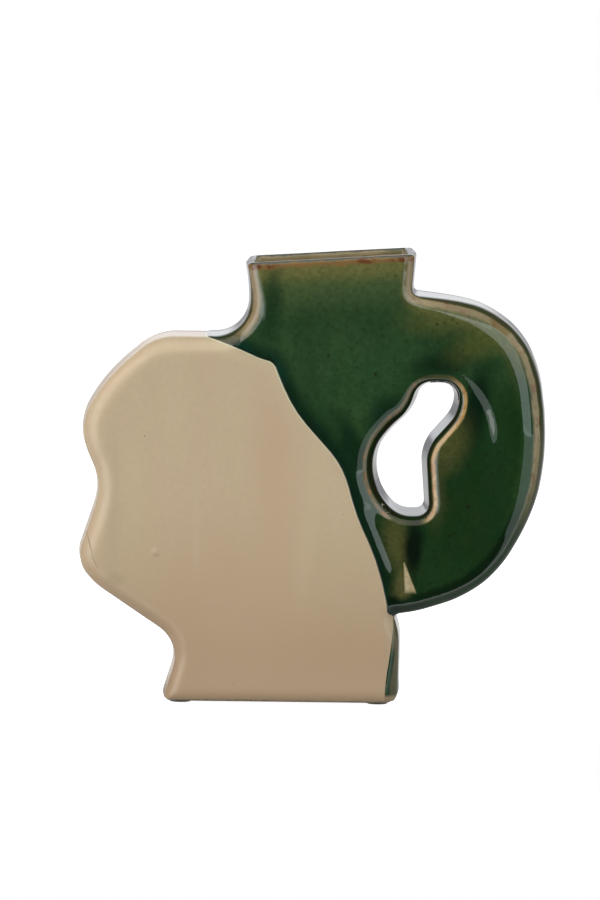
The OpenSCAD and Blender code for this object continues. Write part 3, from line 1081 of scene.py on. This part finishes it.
def green_glaze():
    """Running copper green that breaks to tan on the edges and pools dark along the line."""
    material, g, shader = new_material("green glaze", 0.05, 1.52)
    where = g.place()
    parts = g.node("ShaderNodeSeparateXYZ", None, Vector=where).outputs
    height = g.sum("MULTIPLY", parts[2], 1000.0)
    across = g.sum("MULTIPLY", parts[0], 1000.0)
    clouds = g.grouped(CLOUDS, Where=where, Scale=26.0)
    streaks = g.grouped(CLOUDS, Where=where, Scale=75.0)

    def wandering(name, amount, scale):
        return g.grouped(
            WANDER, Where=where, Distance=g.fact(name), Amount=amount, Scale=scale)[0]

    fold = wandering("outline_fold", 2.0, 120.0)
    hole_fold = wandering("hole_fold", 0.9, 110.0)
    past = wandering("past_line", 1.0, 90.0)
    rim = wandering("below_rim", 1.6, 130.0)
    low = g.step(height, *LOW_HEIGHT)
    loop = g.step(across, *LOOP_ACROSS)

    # Main field: lighter above, darker and purer green below and on the loop
    upper = g.mix(clouds["Cloud"], *UPPER_GREENS)
    lower = g.mix(clouds["Cloud"], *LOWER_GREENS)
    below = g.sum("MAXIMUM", low, g.sum("MULTIPLY", loop, g.step(height, *LOOP_LOW_HEIGHT)))
    body = g.mix(below, upper, lower)
    body = g.mix(g.sum("MULTIPLY", streaks["Run"], 0.30), body, STREAK_GREEN)
    body = g.mix(g.sum("MULTIPLY", clouds["Run"], 0.30), body, RUN_GREEN)
    olive = g.sum("MULTIPLY", g.sum("MULTIPLY", low, streaks["Cloud"]), 0.35)
    body = g.mix(olive, body, LOW_OLIVE)
    body = g.mix(g.sum("MULTIPLY", g.step(height, *NECK_HEIGHT), 0.38), body, NECK_GREEN)
    body = g.mix(g.step(rim, *UNDER_RIM), body, UNDER_RIM_GREEN)
    body = g.mix(g.step(rim, *CLOSE_UNDER_RIM), body, UNDER_RIM_OLIVE)

    # Browner along the edges above, black green along the edges below: thick glaze pooled in the roll,
    # with painted shade in the crease
    thin_reach = g.sum("ADD", 7.0, g.sum("MULTIPLY", loop, 10.0))
    thin = g.step(g.sum("DIVIDE", fold, thin_reach), 1.0, 0.35)
    thin = g.sum("MULTIPLY", thin, g.step(height, *THIN_HEIGHT))
    body = g.mix(g.sum("MULTIPLY", thin, 0.85), body, THIN_BROWN)
    side = g.sum("MULTIPLY", g.step(fold, *LOOP_SIDE_FOLD), g.band(height, 105.0, 178.0, 16.0))
    body = g.mix(g.sum("MULTIPLY", side, loop), body, LOOP_SIDE_GREEN)
    # Thick glaze pooled in the roll along the lower edges, darkened further by painted shade in the crease
    # beside it
    crease_pool_and_shade = g.sum("MULTIPLY", g.band(fold, 3.0, 9.0, 2.0), g.step(height, *CREASE_SHADE_HEIGHT))
    body = g.mix(g.sum("MULTIPLY", crease_pool_and_shade, 0.85), body, POOLED_AND_SHADED_CREASE_GREEN)

    # Dark pools along the glaze line
    pooled = g.step(past, *POOL_PAST)
    body = g.mix(g.sum("MULTIPLY", pooled, 0.92), body, POOL_GREEN)
    teal = g.sum("MULTIPLY", g.step(height, *TEAL_HEIGHT), streaks["Cloud"])
    teal = g.sum("MULTIPLY", g.step(past, *TEAL_PAST), teal)
    body = g.mix(g.sum("MULTIPLY", teal, 0.8), body, POOL_TEAL)
    body = stained_and_shaded(g, where, body, GREEN_STAINS_AND_PAINTED_SHADE, 0.004)
    body = g.mix(g.step(past, *LINE_PAST), body, LINE_GREEN)

    # The bare drop, a wedge with its point upwards where the glaze parted
    tip_x, tip_z = on_face(*DROP_TIP)
    foot_x, foot_z = on_face(*DROP_FOOT)
    down = g.sum("DIVIDE", g.sum("SUBTRACT", parts[2], tip_z), foot_z - tip_z)
    middle = g.sum("ADD", tip_x, g.sum("MULTIPLY", down, foot_x - tip_x))
    aside = g.sum("ABSOLUTE", g.sum("SUBTRACT", parts[0], middle))
    half = g.sum("MULTIPLY", down, DROP_HALF_W * PHOTO_MM_PER_PX * MM)
    bare = g.step(g.sum("SUBTRACT", aside, half), 0.0006, -0.0004)
    bare = g.sum("MULTIPLY", bare, g.sum("MULTIPLY", g.step(down, 0.0, 0.06), g.step(down, 1.10, 0.92)))
    body = g.mix(bare, body, g.mix(streaks["Run"], *BARE_TANS))

    # Specks
    mottle = g.step(g.noise(where, 420.0, 4.0, 0.7), 0.35, 0.65)
    body = g.mix(g.sum("MULTIPLY", mottle, 0.28), body, MOTTLE_GREEN)
    small = g.grouped(SPECKS, Where=where, Scale=300.0, Size=0.32, Scarce=0.70)[0]
    large = g.grouped(SPECKS, Where=where, Scale=120.0, Size=0.15, Scarce=0.76)[0]
    body = g.mix(g.sum("MULTIPLY", small, 0.5), body, SMALL_SPECK)
    body = g.mix(g.sum("MULTIPLY", large, 0.85), body, LARGE_SPECK)

    # Tan where the glaze breaks over the outer edges
    rust = g.step(g.noise(where, 150.0, 3.0, 0.6), 0.48, 0.64)
    tan = g.mix(clouds["Cloud"], *EDGE_TANS)
    tan = g.mix(g.sum("MULTIPLY", rust, 0.75), tan, EDGE_RUST)
    high_up = g.step(height, *EDGE_TAN_HEIGHT)
    neck = g.step(across, *NECK_ACROSS)
    reach = g.sum("ADD", 4.0, g.sum("MULTIPLY", neck, 0.9))
    tan_share = g.step(g.sum("DIVIDE", fold, reach), 1.0, 0.25)
    near_line = g.step(past, *NEAR_LINE_PAST)
    tan_share = g.sum("MULTIPLY", tan_share, g.sum("SUBTRACT", 1.0, g.sum("MULTIPLY", near_line, 0.75)))
    body = g.mix(g.sum("MULTIPLY", tan_share, high_up), body, g.mix(neck, tan, NECK_EDGE_TAN))
    wall = g.mix(clouds["Run"], *SIDE_GREENS)
    wall = g.mix(g.sum("MULTIPLY", streaks["Run"], 0.5), wall, SIDE_STREAK)
    body = g.mix(g.sum("MULTIPLY", g.step(fold, *SIDE_FOLD), 0.9), body, wall)

    # Tan round the hole, strong at the right, weak at the top, none at the bottom
    hole_x, hole_z = on_face(*HOLE_MIDDLE)
    side_x = g.sum("SUBTRACT", parts[0], hole_x)
    side_z = g.sum("SUBTRACT", parts[2], hole_z)
    lean = g.sum("ADD", side_x, g.sum("MULTIPLY", side_z, -0.45))
    rightness = g.step(lean, 0.0, 0.012)
    hole_tan = g.mix(rightness, HOLE_LEFT_TAN, HOLE_RIGHT_TAN)
    hole_tan = g.mix(g.sum("MULTIPLY", rust, 0.8), hole_tan, HOLE_RUST)
    low_x, low_z = on_face(*BARE_HOLE_FOOT)
    foot_spot = g.grouped(
        SPOT, Where=where, X=low_x, Z=low_z, Half_Width=BARE_HOLE_FOOT_HALF[0],
        Half_Height=BARE_HOLE_FOOT_HALF[1], Turn=0.0, Softness=0.4)[0]
    high_x, high_z = on_face(*BARE_HOLE_TOP)
    top_spot = g.grouped(
        SPOT, Where=where, X=high_x, Z=high_z, Half_Width=BARE_HOLE_TOP_HALF[0],
        Half_Height=BARE_HOLE_TOP_HALF[1], Turn=0.0, Softness=0.5)[0]
    gone = g.sum("MAXIMUM", g.sum("MULTIPLY", foot_spot, 0.95), g.sum("MULTIPLY", top_spot, 0.7))
    fade = g.sum("SUBTRACT", 1.0, gone)
    body = g.mix(g.sum("MULTIPLY", g.band(hole_fold, -0.4, 2.9, 1.0), fade), body, hole_tan)
    deep = g.mix(streaks["Run"], *HOLE_SIDE_BROWNS)
    body = g.mix(g.step(hole_fold, *HOLE_SIDE_FOLD), body, deep)

    # Orange brown under the lip
    body = g.mix(g.step(rim, *LIP_UNDER_RIM), body, g.mix(rust, *LIP_BROWNS))
    inside = g.step(g.fact("under_skin"), *MOUTH_UNDER_SKIN)
    body = g.mix(inside, body, g.mix(clouds["Run"], *MOUTH_TANS))
    body = g.mix(g.step(rim, *LIP_TOP_UNDER_RIM), body, LIP_TOP_GREY)

    # The right end of the base, where only a thin coat reached
    base = g.sum("MULTIPLY", g.step(height, *BASE_HEIGHT), g.step(across, *BASE_ACROSS))
    brown = g.mix(clouds["Run"], *BASE_BROWNS)
    body = g.mix(base, body, brown)
    strip = g.sum("MULTIPLY", base, g.step(past, *STRIP_PAST))
    strip = g.sum("MULTIPLY", strip, g.step(height, *STRIP_HEIGHT))
    body = g.mix(strip, body, BASE_STRIP_GREEN)
    body = g.mix(g.sum("MULTIPLY", base, g.step(height, *BASE_FOOT_HEIGHT)), body, BASE_FOOT_TAN)

    g.feed(shader.inputs["Base Color"], body)
    skin = g.grouped(RIPPLE, Where=where)[0]
    uneven(g, shader, skin, 0.25, GLAZE_BUMP)
    return material


def cream_glaze():
    """Warm cream with slow pink and yellow changes and a few pinholes, darkened towards the foot by
    painted shade, with a soft bump's painted highlight and shade.
    """
    material, g, shader = new_material("cream glaze", 0.2)
    shader.inputs["Specular IOR Level"].default_value = 0.28
    where = g.place()
    parts = g.node("ShaderNodeSeparateXYZ", None, Vector=where).outputs
    height = g.sum("MULTIPLY", parts[2], 1000.0)
    clouds = g.grouped(CLOUDS, Where=where, Scale=11.0)
    fine = g.grouped(CLOUDS, Where=where, Scale=38.0)
    body = g.mix(clouds["Run"], *CREAMS)
    body = g.mix(g.sum("MULTIPLY", fine["Run"], 0.25), body, CREAM_RUN)
    # Painted shade, darker towards the foot
    body = g.mix(g.step(height, *CREAM_PAINTED_SHADE_HEIGHT), body, CREAM_PAINTED_SHADE)
    grain = g.step(g.noise(where, 330.0, 4.0, 0.7), 0.3, 0.7)
    body = g.mix(g.sum("MULTIPLY", grain, 0.16), body, CREAM_GRAIN)
    body = stained_and_shaded(g, where, body, CREAM_STAINS_AND_PAINTED_LIGHT, 0.0012)
    past = g.grouped(WANDER, Where=where, Distance=g.fact("past_line"), Amount=0.4, Scale=160.0)[0]
    near_line = g.sum("MULTIPLY", g.step(past, *YELLOW_PAST), g.step(height, *YELLOW_HEIGHT))
    body = g.mix(g.sum("MULTIPLY", near_line, 0.5), body, YELLOW_CREAM)
    above = g.step(height, *PALE_HEIGHT)
    paler = g.sum("MULTIPLY", g.step(past, *PALE_PAST), above)
    body = g.mix(g.sum("MULTIPLY", paler, 0.5), body, PALE_CREAM)
    # Partly a pale halo, partly a painted highlight at the foot of the green's bead, only higher up
    halo_and_highlight = g.sum("MULTIPLY", g.step(past, *FRINGE_PAST), above)
    body = g.mix(halo_and_highlight, body, HALO_AND_HIGHLIGHT_CREAM)
    pinholes = g.grouped(SPECKS, Where=where, Scale=75.0, Size=0.03, Scarce=0.90)[0]
    body = g.mix(g.sum("MULTIPLY", pinholes, 0.7), body, PINHOLE_BROWN)
    g.feed(shader.inputs["Base Color"], body)
    skin = g.grouped(RIPPLE, Where=where)[0]
    uneven(g, shader, skin, 0.2, GLAZE_BUMP)
    return material


def inside_glaze():
    """Thin tan glaze inside, with brown and green flecks near the mouth."""
    material, g, shader = new_material("inside glaze", 0.12)
    where = g.place()
    clouds = g.grouped(CLOUDS, Where=where, Scale=40.0)
    body = g.mix(clouds["Cloud"], *INSIDE_TANS)
    rim = g.fact("below_rim")
    green = g.sum("MULTIPLY", g.step(rim, 22.0, 5.0), g.step(g.noise(where, 120.0), 0.55, 0.66))
    body = g.mix(g.sum("MULTIPLY", green, 0.7), body, INSIDE_GREEN)
    flecks = g.grouped(SPECKS, Where=where, Scale=270.0, Size=0.42, Scarce=0.74)[0]
    body = g.mix(flecks, body, INSIDE_FLECK)
    g.feed(shader.inputs["Base Color"], body)
    skin = g.grouped(RIPPLE, Where=where)[0]
    uneven(g, shader, skin, 0.25, ROUGH_BUMP)
    return material


def bare_clay():
    """Fired clay, rubbed smooth at the foot."""
    material, g, shader = new_material("bare clay", 0.82)
    where = g.place()
    clouds = g.grouped(CLOUDS, Where=where, Scale=60.0)
    body = g.mix(clouds["Cloud"], *CLAY_BROWNS)
    specks = g.grouped(SPECKS, Where=where, Scale=420.0, Size=0.5, Scarce=0.7)[0]
    body = g.mix(g.sum("MULTIPLY", specks, 0.7), body, CLAY_SPECK)
    g.feed(shader.inputs["Base Color"], body)
    grain = g.noise(where, 1500.0, 3.0, 0.6)
    uneven(g, shader, grain, 0.5, ROUGH_BUMP)
    return material


def soft_rubber():
    """Grey rubber, a little dusty."""
    material, g, shader = new_material("soft rubber", 0.45)
    where = g.place()
    dust = g.step(g.noise(where, 400.0, 4.0, 0.6), 0.4, 0.75)
    g.feed(shader.inputs["Base Color"], g.mix(dust, *RUBBER_GREYS))
    uneven(g, shader, g.noise(where, 900.0), 0.3, ROUGH_BUMP)
    return material


shown(green, "green_glaze", green_glaze())
shown(cream, "cream_glaze", cream_glaze())
shown(liner, "liner_glaze", inside_glaze())
shown(clay, "stoneware_body", bare_clay())
rubber = soft_rubber()
for node in sorted(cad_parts):
    if node.startswith("foot_pad"):
        pad = foot_pad(node)
        soft_shaded(pad)
        shown(pad, node, rubber)


# Studio

camera_data = bpy.data.cameras.new("camera")
camera = bpy.data.objects.new("camera", camera_data)
bpy.context.scene.collection.objects.link(camera)
bpy.context.scene.camera = camera
back = Vector((0, -math.cos(ELEVATION), math.sin(ELEVATION)))
turn = back.to_track_quat("Z", "Y").to_matrix().to_4x4() @ Matrix.Rotation(ROLL, 4, "Z")
camera.matrix_world = Matrix.Translation(AIM + back * CAMERA_GAP) @ turn
camera_data.sensor_fit = "VERTICAL"
camera_data.sensor_height = 36
camera_data.lens = 36 * CAMERA_GAP / (PHOTO_H * PHOTO_MM_PER_PX * MM)
camera_data.clip_end = 50

# The white sweep is lit behind the vase only: share of the way back where its light starts and is full
BACK_LIGHT = (0.70, 0.93)
BACK_GLOW = 0.5

# In front of it the table brightens towards its edge, as seen in the glaze: where that starts and ends
FRONT_LIGHT = (-0.05, -0.14)
TABLE_GLOW = 1.3

# The table, which ends a little way in front of the vase: metres, its grey and its light seen
# by the camera
TABLE_GREY = (0.58, 0.58, 0.58, 1)
TABLE_SEEN = 0.97
TABLE_W = 8.0
TABLE_FRONT = -0.16
TABLE_BACK = 6.0
bm = bmesh.new()
bmesh.ops.create_grid(bm, x_segments=2, y_segments=2, size=0.5)
bmesh.ops.scale(bm, verts=bm.verts[:], vec=(TABLE_W, TABLE_BACK - TABLE_FRONT, 1))
bmesh.ops.translate(bm, verts=bm.verts[:], vec=(0, (TABLE_BACK + TABLE_FRONT) / 2, 0))
floor = made("floor", bm)
floor_material, g, shader = new_material("pale table", 0.9)
shader.inputs["Base Color"].default_value = TABLE_GREY
shader.inputs["Emission Color"].default_value = (1, 1, 1, 1)
seen = g.node("ShaderNodeLightPath").outputs["Is Camera Ray"]
spread = g.node("ShaderNodeVectorMath", {"operation": "NORMALIZE"})
g.feed(spread.inputs[0], g.place())
back_share = g.node("ShaderNodeSeparateXYZ", None, Vector=spread.outputs[0]).outputs[1]
lit_back = g.step(back_share, *BACK_LIGHT)
mirrored = g.node("ShaderNodeLightPath").outputs["Is Glossy Ray"]
depth = g.node("ShaderNodeSeparateXYZ", None, Vector=g.place()).outputs[1]
lit_front = g.sum("MULTIPLY", g.sum("MULTIPLY", mirrored, g.step(depth, *FRONT_LIGHT)), TABLE_GLOW)
lit = g.sum("MAXIMUM", g.sum("MULTIPLY", lit_back, BACK_GLOW), lit_front)
g.feed(shader.inputs["Emission Strength"], g.sum("MAXIMUM", g.sum("MULTIPLY", seen, TABLE_SEEN), lit))
floor.data.materials.append(floor_material)


def softbox(name, azimuth, height, gap, width, tall, glow, tint=(1, 1, 1)):
    """A rectangular soft light, turned to the vase.

    Azimuth runs in degrees from the camera's side to the right, and the sizes are in metres.
    """
    data = bpy.data.lights.new(name, "AREA")
    data.shape = "RECTANGLE"
    data.size = width
    data.size_y = tall
    data.color = tint
    data.energy = glow * math.pi * width * tall
    lamp = bpy.data.objects.new(name, data)
    bpy.context.scene.collection.objects.link(lamp)
    angle = math.radians(azimuth)
    spot = Vector((math.sin(angle) * gap, -math.cos(angle) * gap, height))
    aim = spot - Vector((0, 0, 0.12))
    lamp.matrix_world = Matrix.Translation(spot) @ aim.to_track_quat("Z", "Y").to_matrix().to_4x4()
    return lamp


softbox("right softbox", 43, 0.79, 1.6, 1.25, 1.7, 2.1, (0.88, 1.0, 1.02))
softbox("right sheet", 86, 0.60, 1.7, 1.2, 1.7, 0.9)
softbox("left softbox", -60, 0.50, 1.6, 1.35, 2.3, 2.55)
softbox("top sheet", 0, 1.9, 0.5, 2.6, 2.2, 0.92)

# Two white cards below the table's front edge, which only show as reflections
for card in (
        softbox("left card", -46, -0.12, 0.68, 0.62, 0.76, 1.4, (0.88, 1.0, 0.96)),
        softbox("right card", 52, -0.21, 0.77, 0.66, 0.68, 1.1, (0.85, 1.0, 0.98))):
    card.visible_camera = False
    card.visible_diffuse = False

# The white wall behind: share of the way up where its light rises, its light below and above,
# and the dark room in front
SKY_RISE = (0.06, 0.16)
SKY_LOW = (0.52, 0.52, 0.56)
SKY_HIGH = (1.40, 1.42, 1.48)
SKY_FRONT = (0.06, 0.06, 0.06)
world = bpy.data.worlds.new("studio")
world.use_nodes = True
bpy.context.scene.world = world
w = Shelf(world.node_tree)
sky = world.node_tree.nodes["Background"]
direction = w.node("ShaderNodeTexCoord").outputs["Generated"]
toward = w.node("ShaderNodeSeparateXYZ", None, Vector=direction).outputs
behind = w.step(toward[1], *BACK_LIGHT)
lit_sky = w.mix(w.step(toward[2], *SKY_RISE), SKY_LOW, SKY_HIGH)
glow = w.mix(behind, SKY_FRONT, lit_sky)
seen_sky = w.node("ShaderNodeLightPath").outputs["Is Camera Ray"]
w.feed(sky.inputs["Color"], w.mix(seen_sky, glow, (1.0, 1.0, 1.0)))
bpy.context.scene.view_settings.view_transform = "Standard"
